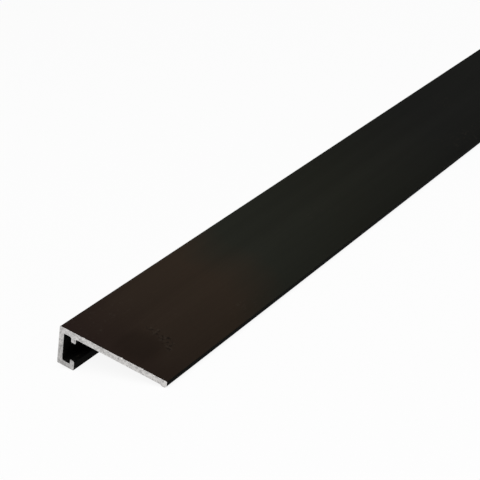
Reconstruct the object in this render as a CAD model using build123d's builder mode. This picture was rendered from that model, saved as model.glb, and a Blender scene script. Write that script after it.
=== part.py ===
"""Wide aluminium frame profile: one extruded bar of constant section, sawn square at both ends.

The section is a flat flange with a web down one long edge. The web's foot turns in under the flange
and ends in a lip. A rib hangs from the flange above that lip, so the two hold a corner connector that
slides in from the end. The flange's free edge ends in a low round bead.

The section is drawn level, with its own x across the flange from the web's outer face and its own y
up from the foot's underside. Left unheld, the bar tips onto the foot's toe and the bead, so the
section's plane leans by that angle. The bar runs along Y, centred over the origin, with the floor at
Z = 0.
"""
import os
from math import acos, asin, atan2, cos, degrees, hypot, sin

from build123d import *

# Driving dimensions, in millimetres
bar_length = 1000.0
section_width = 45.0
section_height = 15.4

flange_thickness = 2.3
web_thickness = 2.0
foot_thickness = 2.0
lip_thickness = 1.8
lip_height = 3.9
rib_thickness = 2.0
rib_depth = 2.0
channel_width = 7.2

bead_radius = 1.35
bead_depth = 0.5

# Roundings that the die leaves in the section
back_edge_radius = 0.5
crisp_edge_radius = 0.25
floor_fillet_radius = 1.0
ceiling_fillet_radius = 0.5
rib_fillet_radius = 0.8
rib_end_radius = 0.5
lip_end_radius = 0.8
bead_fillet_radius = 0.4

# Levels and stations that follow from the dimensions
flange_underside = section_height - flange_thickness
rib_end = flange_underside - rib_depth
rib_inner_side = channel_width - rib_thickness
lip_inner_side = channel_width - lip_thickness
bead_centre = (section_width - bead_radius, flange_underside - bead_depth + bead_radius)
bead_sweep = 90 + degrees(acos((bead_radius - bead_depth) / bead_radius))

# The outline's corners, from the bead's inner side round to its outer side, each with its rounding
corners = [
    ((channel_width, flange_underside), crisp_edge_radius),
    ((channel_width, rib_end), rib_end_radius),
    ((rib_inner_side, rib_end), rib_end_radius),
    ((rib_inner_side, flange_underside), rib_fillet_radius),
    ((web_thickness, flange_underside), ceiling_fillet_radius),
    ((web_thickness, foot_thickness), floor_fillet_radius),
    ((lip_inner_side, foot_thickness), crisp_edge_radius),
    ((lip_inner_side, lip_height), crisp_edge_radius),
    ((channel_width, lip_height), lip_end_radius),
    ((channel_width, 0), crisp_edge_radius),
    ((0, 0), back_edge_radius),
    ((0, section_height), back_edge_radius),
    ((section_width, section_height), crisp_edge_radius),
]

# Centres of the roundings that the bar's own box and its resting place depend on
heel_centre = (back_edge_radius, back_edge_radius)
toe_centre = (channel_width - crisp_edge_radius, crisp_edge_radius)
tip_centre = (section_width - crisp_edge_radius, section_height - crisp_edge_radius)

# The floor touches the toe's and the bead's roundings from below
reach = bead_centre[0] - toe_centre[0]
rise = bead_centre[1] - toe_centre[1]
rest_tilt = atan2(rise, reach) - asin((bead_radius - crisp_edge_radius) / hypot(reach, rise))


def leaned_across(point):
    """Distance of a section point along world X once the section leans."""
    return point[0] * cos(rest_tilt) + point[1] * sin(rest_tilt)


def leaned_height(point):
    """Distance of a section point along world Z once the section leans."""
    return point[1] * cos(rest_tilt) - point[0] * sin(rest_tilt)


left_side = leaned_across(heel_centre) - back_edge_radius
right_side = leaned_across(tip_centre) + crisp_edge_radius
lowest_point = leaned_height(toe_centre) - crisp_edge_radius

section_plane = Plane(
    origin=(-(left_side + right_side) / 2, 0, -lowest_point),
    x_dir=(cos(rest_tilt), 0, -sin(rest_tilt)),
    z_dir=(0, -1, 0),
)

# The bar
with BuildPart() as frame_profile:
    with BuildSketch(section_plane) as section:
        with BuildLine():
            bead = CenterArc(bead_centre, bead_radius, 0, -bead_sweep)
            Polyline(bead @ 1, *[point for point, radius in corners], bead @ 0)
        make_face()
        fillet(section.vertices().sort_by_distance(bead @ 1)[0], bead_fillet_radius)
        for point, radius in corners:
            fillet(section.vertices().sort_by_distance(point)[0], radius)
    extrude(amount=bar_length / 2, both=True)

frame_profile.part.label = "frame_profile"

os.makedirs("parts", exist_ok=True)
export_step(frame_profile.part, "parts/frame_profile.step")
print("rest tilt, degrees:", round(degrees(rest_tilt), 3))
print("section area, square millimetres:", round(frame_profile.part.volume / bar_length, 2))
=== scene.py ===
"""Looks of the black anodised frame profile.

The bar is rebuilt here with smooth roundings and sawn ends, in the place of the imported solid. It has
two finishes: black anodised skin, and bare metal where the saw went through. The studio is a white
floor with soft light from the camera's side, seen through a long lens. Lengths are in metres, angles
in radians. A section point has x across the flange from the web's outer face and y up from the foot's
underside, as they are before the bar leans.
"""
import math
import random

import bpy
import numpy as np
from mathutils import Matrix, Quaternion, Vector
from mathutils.geometry import delaunay_2d_cdt


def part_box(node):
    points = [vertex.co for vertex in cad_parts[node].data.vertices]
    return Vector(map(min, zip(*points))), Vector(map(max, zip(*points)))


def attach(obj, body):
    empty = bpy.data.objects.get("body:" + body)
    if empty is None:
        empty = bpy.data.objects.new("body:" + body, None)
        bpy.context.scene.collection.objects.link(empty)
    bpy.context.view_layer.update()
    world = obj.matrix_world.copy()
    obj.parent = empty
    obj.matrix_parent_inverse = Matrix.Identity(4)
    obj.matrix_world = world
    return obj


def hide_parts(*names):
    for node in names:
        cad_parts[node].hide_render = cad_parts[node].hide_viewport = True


NODE = "frame_profile"

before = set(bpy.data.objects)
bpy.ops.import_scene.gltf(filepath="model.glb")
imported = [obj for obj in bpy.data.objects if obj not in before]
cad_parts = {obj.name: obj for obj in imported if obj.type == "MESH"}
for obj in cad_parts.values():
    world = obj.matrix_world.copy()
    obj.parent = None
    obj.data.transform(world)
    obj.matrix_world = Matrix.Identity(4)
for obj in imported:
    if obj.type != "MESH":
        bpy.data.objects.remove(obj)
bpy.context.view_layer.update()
bar_low, bar_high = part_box(NODE)
bar_length = bar_high.y - bar_low.y

# Section sizes, as the part is built
section_width = 0.045
section_height = 0.0154
flange_thickness = 0.0023
web_thickness = 0.002
foot_thickness = 0.002
lip_thickness = 0.0018
lip_height = 0.0039
rib_thickness = 0.002
rib_depth = 0.002
channel_width = 0.0072
bead_radius = 0.00135
bead_depth = 0.0005
back_edge_radius = 0.0005
crisp_edge_radius = 0.00025
floor_fillet_radius = 0.001
ceiling_fillet_radius = 0.0005
rib_fillet_radius = 0.0008
rib_end_radius = 0.0005
lip_end_radius = 0.0008
bead_fillet_radius = 0.0004

# How finely the outline and the bar are divided
arc_step = math.radians(9)
run_step = 0.0003
ring_count = 12
cap_grid = 0.0003
cap_weld_share = 0.0001
sharp_angle = math.radians(35)

# What the saw leaves at each end: the skin breaks back along the bar, and by a share into the section
break_depth = 0.00005
fray_depth = 0.00002
nick_depth = 0.00022
nick_half_width = 0.0005
nick_shares = (0.235, 0.59, 0.78)
nick_low_share = 0.6
bite_share = 1.25
saw_centre = Vector((0.062, 0.085))
saw_pitch = 0.00055
saw_beat_share = 0.37
saw_relief = 0.000008
settling_length = 0.0004
random_seed = 7

# The bake map: the skin unrolled along its lower part, and both sawn ends, enlarged, above it
map_margin = 0.012
skin_map_width = 0.976
skin_map_height = 0.79
end_map_scale = 10.4
end_map_corners = ((0.016, 0.825), (0.516, 0.825))

# Patterns in the finishes, by their size across and along the bar
die_line_size = (0.0005, 0.5)
band_size = (0.012, 0.3)
cloud_size = (0.03, 0.06)
grain_size = (0.00025, 0.00035)
rub_patch_size = (0.02, 0.035)
speck_size = (0.0009, 0.002)
scuff_size = (0.0012, 0.0012)
mottle_size = (0.0011, 0.0011)
pit_size = (0.00035, 0.00035)
die_line_height = 0.000005
grain_height = 0.0000035
tooth_mark_height = 0.000009
mottle_height = 0.000008

# How jagged a noise is, the levels between which it sets in, and the tone and roughness it goes through
jagged_share = 0.7
usual_levels = (0.3, 0.7)
patch_levels = (0.56, 0.68)
speck_levels = (0.58, 0.72)
dark_scuff_levels = (0.42, 0.50)
pale_scuff_levels = (0.50, 0.58)
mottle_levels = (0.36, 0.60)
pit_levels = (0.32, 0.44)
die_line_tone_shares = (0.95, 1.05)
band_tone_shares = (0.94, 1.06)
tooth_mark_tone_shares = (0.93, 1.05)
band_roughness = (0.40, 0.48)
die_line_roughness = (0.0, 0.06)
rub_roughness = 0.12
tooth_mark_roughness = (0.42, 0.58)
skin_gloss = 0.005

# The dye on the flange's and the web's outer faces, by distance from the near end, and on the rest.
# Near the end it is a brown tint together with a painted sheen that makes it lighter; on the rest it is
# painted shade. The line where its tone changes slants across the bar, and painted shade deepens it
# towards the flange's tip
tint_and_sheen_stops = (
    (0.0, (0.0176, 0.0112, 0.0094, 1)),
    (0.034, (0.0240, 0.0168, 0.0122, 1)),
    (0.067, (0.0258, 0.0184, 0.0129, 1)),
    (0.097, (0.0164, 0.0172, 0.0134, 1)),
    (0.157, (0.0140, 0.0144, 0.0112, 1)),
    (0.25, (0.0112, 0.0114, 0.0104, 1)),
)
# The deep tone is painted shade on the faces other than the two outer ones, and also the colour of the
# dark scuffs
shade_and_scuff_dye = (0.0040, 0.0040, 0.0037, 1)
worn_dye = (0.045, 0.038, 0.030, 1)
tint_and_sheen_wander = 0.006
tint_and_sheen_slant_share = 0.45
tip_shade_start_share = 0.45
tip_shade_share = 0.8
outer_face_depth = 0.0002

# A rub mark on the flange's outer face: a darker patch, and dark and pale scuffs in an arch on one side
# of it. Then the wear along that face's edges
rub_across = 0.026
rub_along = 0.0096
rub_radius = 0.0098
rub_width = 0.002
rub_direction = (0.42, 0.91, 0)
rub_fade_shares = (0.45, 1.2)
rub_arch_shares = (0.62, 0.86)
rub_dark_share = 0.78
scuff_dark_share = 0.75
rub_worn_share = 0.3
edge_wear_width = 0.0004

# The sawn metal, with painted shade that darkens it round the foot, near the floor
dull_metal = (0.47, 0.46, 0.452, 1)
bright_metal = (0.73, 0.715, 0.7, 1)
pit_dark_share = 0.7
foot_shade_share = 0.75
foot_shade_radius = 0.002
foot_shade_end_radius = 0.017

# The studio
floor_half_width = 6.0
floor_colour = (0.86, 0.86, 0.86, 1)
floor_roughness = 0.9
floor_gloss = 0.1
floor_glow_share = 0.9
softbox_place = Vector((0.4, -1.3, 2.2))
softbox_aim = Vector((0, -0.3, 0))
softbox_size = 2.5
softbox_watts = 68
horizon_strength = 0.93
overhead_strength = 0.12
fade_heights = (0.02, 0.3)
camera_place = Vector((0.2955, -0.81165, 0.20692))
camera_aim = Vector((-0.00363, -0.41252, 0.01375))
camera_roll = math.radians(-8.937)
camera_lens_mm = 105.9


def turned(vector, angle):
    """A 2-D vector turned anticlockwise."""
    cosine, sine = math.cos(angle), math.sin(angle)
    return Vector((vector.x * cosine - vector.y * sine, vector.x * sine + vector.y * cosine))


def arc(centre, start, sweep):
    """Points from start round centre, each with its outward normal. A hollow arc sweeps clockwise."""
    spoke = start - centre
    side = math.copysign(1, sweep)
    steps = max(2, math.ceil(abs(sweep) / arc_step))
    spokes = [turned(spoke, sweep * step / steps) for step in range(steps + 1)]
    return [(centre + each, each.normalized() * side) for each in spokes]


def rounded_corner(before, corner, after, radius):
    """The arc that rounds a corner of an outline that runs anticlockwise."""
    way_in = (corner - before).normalized()
    way_out = (after - corner).normalized()
    turn = math.atan2(way_in.cross(way_out), way_in.dot(way_out))
    start = corner - way_in * radius * math.tan(abs(turn) / 2)
    centre = start + turned(way_in, math.copysign(math.pi / 2, turn)) * radius
    return arc(centre, start, turn)


def bead_arcs(underside):
    """The hollow fillet beside the bead and the bead's own round, up to the flange's edge."""
    centre = Vector((section_width - bead_radius, underside - bead_depth + bead_radius))
    fillet_y = underside - bead_fillet_radius
    reach = bead_radius + bead_fillet_radius
    fillet_centre = Vector((centre.x - math.sqrt(reach ** 2 - (centre.y - fillet_y) ** 2), fillet_y))
    lean = math.atan2(centre.y - fillet_centre.y, centre.x - fillet_centre.x)
    hollow = arc(fillet_centre, fillet_centre + Vector((0, bead_fillet_radius)), lean - math.pi / 2)
    touch = fillet_centre + turned(Vector((bead_fillet_radius, 0)), lean)
    return hollow + arc(centre, touch, math.pi - lean)[1:]


def with_runs_divided(outline):
    """The closed outline with points added along its straight runs."""
    divided = []
    for (point, normal), (following, _) in zip(outline, outline[1:] + outline[:1]):
        parts = max(1, math.ceil((following - point).length / run_step))
        divided.append((point, normal))
        run = (following - point).normalized()
        flat = Vector((run.y, -run.x))
        divided += [(point.lerp(following, part / parts), flat) for part in range(1, parts)]
    return divided


def section_outline():
    """The section anticlockwise from its heel, as points with outward normals."""
    underside = section_height - flange_thickness
    bead = bead_arcs(underside)
    rib_end = underside - rib_depth
    corners = [
        (0, 0, back_edge_radius),
        (channel_width, 0, crisp_edge_radius),
        (channel_width, lip_height, lip_end_radius),
        (channel_width - lip_thickness, lip_height, crisp_edge_radius),
        (channel_width - lip_thickness, foot_thickness, crisp_edge_radius),
        (web_thickness, foot_thickness, floor_fillet_radius),
        (web_thickness, underside, ceiling_fillet_radius),
        (channel_width - rib_thickness, underside, rib_fillet_radius),
        (channel_width - rib_thickness, rib_end, rib_end_radius),
        (channel_width, rib_end, rib_end_radius),
        (channel_width, underside, crisp_edge_radius),
        (section_width, section_height, crisp_edge_radius),
        (0, section_height, back_edge_radius),
    ]
    bead_follows = corners[-3][:2]
    outline = []
    for index, (x, y, radius) in enumerate(corners):
        before = Vector(corners[index - 1][:2])
        after = Vector(corners[(index + 1) % len(corners)][:2])
        if (x, y) == bead_follows:
            after = bead[0][0]
        if before == Vector(bead_follows):
            before = bead[-1][0]
        outline += rounded_corner(before, Vector((x, y)), after, radius)
        if (x, y) == bead_follows:
            outline += bead
    return with_runs_divided(outline)


def rest_tilt():
    """The lean at which the toe's and the bead's rounds both touch the floor."""
    reach = section_width - bead_radius - channel_width + crisp_edge_radius
    rise = section_height - flange_thickness - bead_depth + bead_radius - crisp_edge_radius
    between_rounds = math.asin((bead_radius - crisp_edge_radius) / math.hypot(reach, rise))
    return math.atan2(rise, reach) - between_rounds


class Section:
    """The section's outline, and where it goes in the scene as the bar leans."""

    def __init__(self):
        self.tilt = rest_tilt()
        self.outline = section_outline()
        leaned = [turned(point, -self.tilt) for point, _ in self.outline]
        across = [point.x for point in leaned]
        self.shift = Vector((
            (bar_low.x + bar_high.x - min(across) - max(across)) / 2,
            bar_low.z - min(point.y for point in leaned),
        ))

    def place(self, point, along=0.0):
        """A section point in the scene, at a distance along the bar from its near end."""
        spot = turned(point, -self.tilt) + self.shift
        return spot.x, bar_low.y + along, spot.y

    def direction(self, vector):
        """A section direction in the scene."""
        lean = turned(vector, -self.tilt)
        return lean.x, 0.0, lean.y


def inside(points, polygon):
    """Which points lie inside a closed polygon, by counting the edges to their right."""
    found = np.zeros(len(points), bool)
    for (x0, y0), (x1, y1) in zip(polygon, np.roll(polygon, -1, axis=0)):
        if y0 != y1:
            crosses = (y0 > points[:, 1]) != (y1 > points[:, 1])
            found ^= crosses & (points[:, 0] < x0 + (points[:, 1] - y0) / (y1 - y0) * (x1 - x0))
    return found


def cap_mesh(rim):
    """Triangles that fill the section inside its rim: (points, the rim's first, triangles)."""
    rim = np.array(rim)
    axes = [np.arange(rim[:, axis].min(), rim[:, axis].max(), cap_grid) for axis in (0, 1)]
    grid = np.stack(np.meshgrid(*axes), axis=-1).reshape(-1, 2)
    gaps = np.min(np.linalg.norm(grid[:, None] - rim[None], axis=2), axis=1)
    grid = grid[inside(grid, rim) & (gaps > cap_grid / 2)]
    points = [Vector(point) for point in np.vstack([rim, grid])]
    rim_edges = [(index, (index + 1) % len(rim)) for index in range(len(rim))]
    inside_only = 1
    weld = cap_grid * cap_weld_share
    points, _, triangles, *_ = delaunay_2d_cdt(points, rim_edges, [], inside_only, weld)
    return points, triangles


def saw_groove(point):
    """Depth of the arcs that the blade's teeth leave, at a section point."""
    phase = (point - saw_centre).length / saw_pitch * math.tau
    return saw_relief * abs(math.sin(phase) + math.sin(phase * saw_beat_share)) / 2


def broken_edge(outline, draw):
    """How far the black skin has broken back from the cut, at each point of the outline."""
    depths = []
    for point, _ in outline:
        depth = break_depth + fray_depth * draw.random()
        if point.y > section_height - crisp_edge_radius:
            for share in nick_shares:
                off = abs(point.x - share * section_width) / nick_half_width
                depth += nick_depth * max(0, 1 - off * off) * draw.uniform(nick_low_share, 1)
        depths.append(depth)
    return depths


class MeshDraft:
    """A mesh in the making. A corner is a vertex's number, a normal and a place on the bake map."""

    def __init__(self):
        self.vertices = []
        self.faces = []
        self.slots = []
        self.normals = []
        self.map_places = []

    def add_vertices(self, places):
        """Adds vertices and gives their numbers."""
        first = len(self.vertices)
        self.vertices.extend(places)
        return range(first, len(self.vertices))

    def add_face(self, corners, slot):
        vertices, normals, map_places = zip(*corners)
        self.faces.append(vertices)
        self.slots.append(slot)
        self.normals.extend(normals)
        self.map_places.extend(map_places)

    def finished(self, name, materials):
        """The mesh, with smooth faces. A corner with no normal of its own takes its faces' one."""
        mesh = bpy.data.meshes.new(name)
        mesh.from_pydata(self.vertices, [], self.faces)
        for material in materials:
            mesh.materials.append(material)
        mesh.polygons.foreach_set("material_index", self.slots)
        mesh.polygons.foreach_set("use_smooth", [True] * len(self.faces))
        mesh.uv_layers.new(name="OFBake").uv.foreach_set("vector", np.ravel(self.map_places))
        mesh.set_sharp_from_angle(angle=sharp_angle)
        mesh.normals_split_custom_set(self.normals)
        return mesh


def add_skin(draft, section, near_depths, far_depths):
    """Adds the black skin between its broken edges, and gives its first and last rings of vertices."""
    points = [point for point, _ in section.outline]
    normals = [section.direction(normal) for _, normal in section.outline]
    count = len(points)
    settled = nick_depth + settling_length
    even = [bar_length * step / ring_count for step in range(1, ring_count)]
    stations = [
        near_depths,
        *[[along] * count for along in (settled, *even, bar_length - settled)],
        [bar_length - depth for depth in far_depths],
    ]
    rings = [
        draft.add_vertices(section.place(point, along) for point, along in zip(points, station))
        for station in stations
    ]
    runs = [(after - point).length for point, after in zip(points, points[1:] + points[:1])]
    round_shares = np.concatenate([[0], np.cumsum(runs)]) / sum(runs)

    def corner(ring, index):
        """A corner of the skin. The index runs one past the outline's end, where the map's seam is."""
        at = index % count
        u = map_margin + skin_map_width * stations[ring][at] / bar_length
        v = map_margin + skin_map_height * round_shares[index]
        return rings[ring][at], normals[at], (u, v)

    for ring in range(len(rings) - 1):
        for index in range(count):
            ways = ((ring, index), (ring + 1, index), (ring + 1, index + 1), (ring, index + 1))
            draft.add_face([corner(*way) for way in ways], 0)
    return rings[0], rings[-1]


def add_sawn_end(draft, section, ring, depths, far, map_corner):
    """Adds a sawn end inside the skin's last ring, with the broken edge between them."""
    count = len(ring)
    rim = []
    spread = []
    for (point, normal), depth in zip(section.outline, depths):
        rim.append(point - normal * depth * bite_share)
        spread.append(point + normal * depth)
    points, triangles = cap_mesh(rim)
    grooves = [0] * count + [saw_groove(point) for point in points[count:]]
    stations = [bar_length - groove if far else groove for groove in grooves]
    cap = draft.add_vertices(section.place(point, along) for point, along in zip(points, stations))
    order = -1 if far else 1

    def corner(vertex, point):
        across = section_width - point.x if far else point.x
        u = map_corner[0] + end_map_scale * across
        v = map_corner[1] + end_map_scale * point.y
        return vertex, (0.0, 0.0, 0.0), (u, v)

    for index, after in zip(range(count), [*range(1, count), 0]):
        corners = [
            corner(cap[index], rim[index]),
            corner(ring[index], spread[index]),
            corner(ring[after], spread[after]),
            corner(cap[after], rim[after]),
        ]
        draft.add_face(corners[::order], 1)
    for triangle in triangles:
        corners = [corner(cap[index], points[index]) for index in triangle]
        draft.add_face(corners[::order], 1)


def build_bar(section, black, bare):
    """The bar as one mesh: skin, broken edges and sawn ends."""
    draw = random.Random(random_seed)
    near_depths = broken_edge(section.outline, draw)
    far_depths = broken_edge(section.outline, draw)
    draft = MeshDraft()
    near_ring, far_ring = add_skin(draft, section, near_depths, far_depths)
    add_sawn_end(draft, section, near_ring, near_depths, False, end_map_corners[0])
    add_sawn_end(draft, section, far_ring, far_depths, True, end_map_corners[1])
    bar = bpy.data.objects.new("profile_bar", draft.finished("profile_bar", (black, bare)))
    bpy.context.scene.collection.objects.link(bar)
    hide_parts(NODE)
    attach(bar, "root")


class Shader:
    """The node tree of a material or the world, with short ways to add and join nodes."""

    def __init__(self, owner, surface="Principled BSDF", coordinates="Object"):
        owner.use_nodes = True
        self.owner = owner
        self.tree = owner.node_tree
        self.surface = self.tree.nodes[surface]
        self.spot = self.tree.nodes.new("ShaderNodeTexCoord").outputs[coordinates]

    def add(self, kind, inputs=(), **settings):
        """Adds a node, with its inputs by name or number."""
        node = self.tree.nodes.new(kind)
        for name, value in settings.items():
            setattr(node, name, value)
        for name, value in dict(inputs).items():
            self.put(node.inputs[name], value)
        return node

    def put(self, socket, value):
        """Joins an output to a socket, or sets the socket to a plain value."""
        if isinstance(value, bpy.types.NodeSocket):
            self.tree.links.new(value, socket)
        else:
            socket.default_value = value

    def set(self, **values):
        for name, value in values.items():
            self.put(self.surface.inputs[name.replace("_", " ")], value)

    def math(self, operation, first, second):
        return self.add("ShaderNodeMath", {0: first, 1: second}, operation=operation).outputs["Value"]

    def vector(self, operation, first, second=(0, 0, 0)):
        return self.add("ShaderNodeVectorMath", {0: first, 1: second}, operation=operation).outputs

    def distance(self, point, axes=(1, 1, 1)):
        """Distance from a point, or from a line through it along the axes that count for nothing."""
        gap = self.vector("SUBTRACT", self.spot, point)["Vector"]
        return self.vector("LENGTH", self.vector("MULTIPLY", gap, axes)["Vector"])["Value"]

    def past(self, point, direction):
        """How far past a point the surface lies in a direction."""
        gap = self.vector("SUBTRACT", self.spot, point)["Vector"]
        return self.vector("DOT_PRODUCT", gap, direction)["Value"]

    def noise(self, size, detail=2.0, roughness=0.5):
        """Noise with spots of the given size across and along the bar."""
        across, along = size
        place = self.vector("DIVIDE", self.spot, (across, along, across))["Vector"]
        inputs = {"Vector": place, "Scale": 1.0, "Detail": detail, "Roughness": roughness}
        return self.add("ShaderNodeTexNoise", inputs).outputs["Fac"]

    def ramp(self, value, low, high, to_low=0.0, to_high=1.0, smooth=True):
        """A value that goes from to_low to to_high as the given one goes from low to high."""
        inputs = {"Value": value, "From Min": low, "From Max": high}
        inputs.update({"To Min": to_low, "To Max": to_high})
        way = "SMOOTHSTEP" if smooth else "LINEAR"
        return self.add("ShaderNodeMapRange", inputs, interpolation_type=way).outputs["Result"]

    def varied(self, noise, low, high):
        """A value that goes from low to high as a noise goes through most of its range."""
        return self.ramp(noise, *usual_levels, low, high)

    def tones(self, value, stops):
        """A colour that goes through the given stops as the value goes along the bar."""
        node = self.add("ShaderNodeValToRGB", {"Fac": self.ramp(value, 0, bar_length, smooth=False)})
        elements = node.color_ramp.elements
        elements.remove(elements[1])
        for index, (along, colour) in enumerate(stops):
            element = elements.new(along / bar_length) if index else elements[0]
            element.position = along / bar_length
            element.color = colour
        return node.outputs["Color"]

    def mix(self, factor, first, second, blend="MIX"):
        node = self.add("ShaderNodeMix", data_type="RGBA", blend_type=blend)
        self.put(node.inputs["Factor"], factor)
        for name, value in (("A", first), ("B", second)):
            socket = [each for each in node.inputs if each.name == name and each.type == "RGBA"][0]
            self.put(socket, value)
        return [each for each in node.outputs if each.type == "RGBA"][0]

    def bump(self, height, distance, under=None):
        inputs = {"Height": height, "Distance": distance}
        if under:
            inputs["Normal"] = under
        return self.add("ShaderNodeBump", inputs).outputs["Normal"]


def black_anodised(section):
    """Satin black skin: dye clouds on the outer faces, painted sheen and shade, die lines along the
    bar, and light wear.
    """
    skin = Shader(bpy.data.materials.new("black_anodised_skin"))
    die_lines = skin.noise(die_line_size, detail=3, roughness=jagged_share)
    bands = skin.noise(band_size, detail=3)
    specks = skin.noise(speck_size, roughness=jagged_share)
    corner = section.place(Vector((0, section_height)))
    tip = section.place(Vector((section_width, section_height)))

    # Dye with painted light: a brown tint and a painted sheen near the end, greyer along the bar,
    # painted shade deepening it towards the tip, and painted shade off the outer faces
    wander = skin.varied(skin.noise(cloud_size, detail=3), -tint_and_sheen_wander, tint_and_sheen_wander)
    along = skin.math("ADD", skin.past(corner, (tint_and_sheen_slant_share, 1, 0)), wander)
    tone = skin.tones(along, tint_and_sheen_stops)
    across = skin.past(corner, section.direction(Vector((1, 0))))
    # Painted shade: the tone darkens towards the flange's tip
    tip_shade = skin.ramp(across, section_width * tip_shade_start_share, section_width, 1.0, tip_shade_share)
    tone = skin.mix(1.0, tone, tip_shade, "MULTIPLY")
    # Painted shade: every face but the flange's and the web's outer ones takes the deep tone
    flange_face = skin.ramp(skin.past(corner, section.direction(Vector((0, 1)))), -outer_face_depth, 0)
    web_face = skin.ramp(skin.past(corner, section.direction(Vector((-1, 0)))), -outer_face_depth, 0)
    tone = skin.mix(skin.math("MAXIMUM", flange_face, web_face), shade_and_scuff_dye, tone)
    lined = skin.varied(die_lines, *die_line_tone_shares)
    shade = skin.math("MULTIPLY", lined, skin.varied(bands, *band_tone_shares))

    # Wear: the rub mark with its scuffs, patches of fine specks, and rubbed edges
    rub = section.place(Vector((rub_across, section_height)), rub_along)
    off = skin.distance(rub)
    fade = [rub_radius * share for share in rub_fade_shares]
    darkened = skin.ramp(off, *fade, rub_dark_share, 1.0)
    tone = skin.mix(1.0, tone, skin.math("MULTIPLY", shade, darkened), "MULTIPLY")
    reach = skin.math("ADD", off, skin.varied(specks, -rub_width, rub_width))
    arch = skin.ramp(reach, rub_radius - rub_width, rub_radius)
    arch = skin.math("MULTIPLY", arch, skin.ramp(reach, rub_radius, rub_radius + rub_width, 1.0, 0.0))
    middle = [rub_radius * share for share in rub_arch_shares]
    middle = skin.ramp(skin.past(rub, rub_direction), *middle)
    arch = skin.math("MULTIPLY", skin.math("MULTIPLY", arch, middle), flange_face)
    scuffs = skin.noise(scuff_size, roughness=jagged_share)
    scored = skin.math("MULTIPLY", arch, skin.ramp(scuffs, *dark_scuff_levels, scuff_dark_share, 0.0))
    tone = skin.mix(scored, tone, shade_and_scuff_dye)
    arch = skin.math("MULTIPLY", arch, skin.ramp(scuffs, *pale_scuff_levels))
    patches = skin.ramp(skin.noise(rub_patch_size, detail=1), *patch_levels)
    for edge in (corner, tip):
        worn = skin.ramp(skin.distance(edge, (1, 0, 1)), edge_wear_width / 2, edge_wear_width, 1.0, 0.0)
        patches = skin.math("MAXIMUM", patches, worn)
    rubs = skin.math("MULTIPLY", patches, skin.ramp(specks, *speck_levels))
    rubs = skin.math("MAXIMUM", rubs, arch)
    tone = skin.mix(skin.math("MULTIPLY", rubs, rub_worn_share), tone, worn_dye)

    rough = skin.varied(bands, *band_roughness)
    rough = skin.math("ADD", rough, skin.varied(die_lines, *die_line_roughness))
    rough = skin.math("ADD", rough, skin.math("MULTIPLY", rubs, rub_roughness))
    normal = skin.bump(die_lines, die_line_height)
    normal = skin.bump(skin.noise(grain_size), grain_height, under=normal)
    skin.set(Base_Color=tone, Roughness=rough, Normal=normal, Specular_IOR_Level=skin_gloss)
    return skin.owner


def sawn_aluminium(section):
    """Bare metal as the saw leaves it: curved tooth marks, mottling and pits, with painted shade round
    the foot.
    """
    cut = Shader(bpy.data.materials.new("sawn_aluminium"))
    radius = cut.distance(section.place(saw_centre), (1, 0, 1))
    tooth_marks = cut.add(
        "ShaderNodeTexNoise",
        {
            "W": cut.math("DIVIDE", radius, saw_pitch),
            "Scale": 1.0,
            "Detail": 3.0,
            "Roughness": jagged_share,
        },
        noise_dimensions="1D",
    ).outputs["Fac"]
    mottling = cut.noise(mottle_size, detail=4, roughness=jagged_share)

    tone = cut.mix(cut.ramp(mottling, *mottle_levels), dull_metal, bright_metal)
    tone = cut.mix(1.0, tone, cut.varied(tooth_marks, *tooth_mark_tone_shares), "MULTIPLY")
    pits = cut.ramp(cut.noise(pit_size, detail=1), *pit_levels, pit_dark_share, 1.0)
    tone = cut.mix(1.0, tone, pits, "MULTIPLY")
    # Painted shade: the metal darkens round the foot, near the floor
    foot = cut.distance(section.place(Vector((channel_width / 2, 0))), (1, 0, 1))
    foot = cut.ramp(foot, foot_shade_radius, foot_shade_end_radius, foot_shade_share, 1.0)
    tone = cut.mix(1.0, tone, foot, "MULTIPLY")
    rough = cut.varied(tooth_marks, *tooth_mark_roughness)
    normal = cut.bump(tooth_marks, tooth_mark_height)
    normal = cut.bump(mottling, mottle_height, under=normal)
    cut.set(Base_Color=tone, Metallic=1.0, Roughness=rough, Normal=normal)
    return cut.owner


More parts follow.
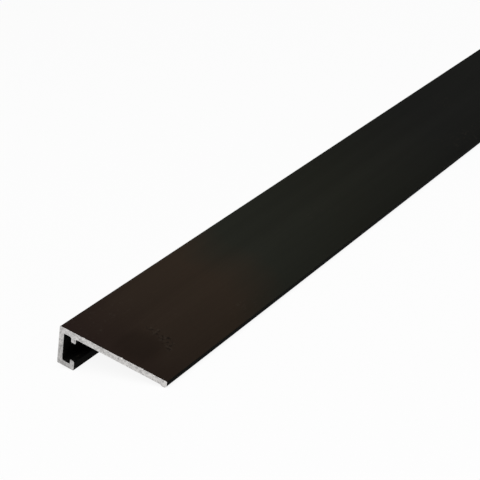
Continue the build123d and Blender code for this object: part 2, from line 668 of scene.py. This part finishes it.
def add_floor():
    """A wide white floor that keeps the bar's soft shadow."""
    half = floor_half_width
    mesh = bpy.data.meshes.new("studio_floor")
    corners = [(-half, -half, 0), (half, -half, 0), (half, half, 0), (-half, half, 0)]
    mesh.from_pydata(corners, [], [(0, 1, 2, 3)])
    floor = bpy.data.objects.new("studio_floor", mesh)
    bpy.context.scene.collection.objects.link(floor)

    paper = Shader(bpy.data.materials.new("white_floor"))
    paper.set(Base_Color=floor_colour, Roughness=floor_roughness, Specular_IOR_Level=floor_gloss)
    rays = paper.add("ShaderNodeLightPath").outputs
    seen = paper.math("MAXIMUM", rays["Is Camera Ray"], rays["Is Glossy Ray"])
    seen = paper.math("MAXIMUM", seen, rays["Is Transmission Ray"])
    white = paper.add("ShaderNodeEmission", {"Color": (1, 1, 1, 1), "Strength": 1.0})
    blend = paper.add("ShaderNodeMixShader", {"Fac": paper.math("MULTIPLY", seen, floor_glow_share)})
    paper.put(blend.inputs[1], paper.surface.outputs["BSDF"])
    paper.put(blend.inputs[2], white.outputs["Emission"])
    paper.put(paper.tree.nodes["Material Output"].inputs["Surface"], blend.outputs["Shader"])
    mesh.materials.append(paper.owner)


def add_softbox():
    """A large square light above the camera's side."""
    lamp = bpy.data.lights.new("softbox", "AREA")
    lamp.size = softbox_size
    lamp.energy = softbox_watts
    softbox = bpy.data.objects.new("softbox", lamp)
    softbox.location = softbox_place
    softbox.rotation_euler = (softbox_aim - softbox_place).to_track_quat("-Z", "Y").to_euler()
    bpy.context.scene.collection.objects.link(softbox)


def add_world():
    """A surround that is white round the horizon and dim above."""
    sky = Shader(bpy.data.worlds.new("studio_surround"), "Background", "Generated")
    height = sky.past((0, 0, 0), (0, 0, 1))
    strength = sky.ramp(height, *fade_heights, horizon_strength, overhead_strength)
    sky.set(Color=(1, 1, 1, 1), Strength=strength)
    bpy.context.scene.world = sky.owner


def add_camera():
    """The camera at the picture's viewing angle."""
    lens = bpy.data.cameras.new("picture_camera")
    lens.lens = camera_lens_mm
    camera = bpy.data.objects.new("picture_camera", lens)
    camera.location = camera_place
    level = (camera_aim - camera_place).to_track_quat("-Z", "Y")
    camera.rotation_mode = "QUATERNION"
    camera.rotation_quaternion = level @ Quaternion((0, 0, 1), camera_roll)
    bpy.context.scene.collection.objects.link(camera)
    bpy.context.scene.camera = camera


section = Section()
build_bar(section, black_anodised(section), sawn_aluminium(section))
add_floor()
add_world()
add_softbox()
add_camera()
bpy.context.scene.view_settings.view_transform = "Standard"
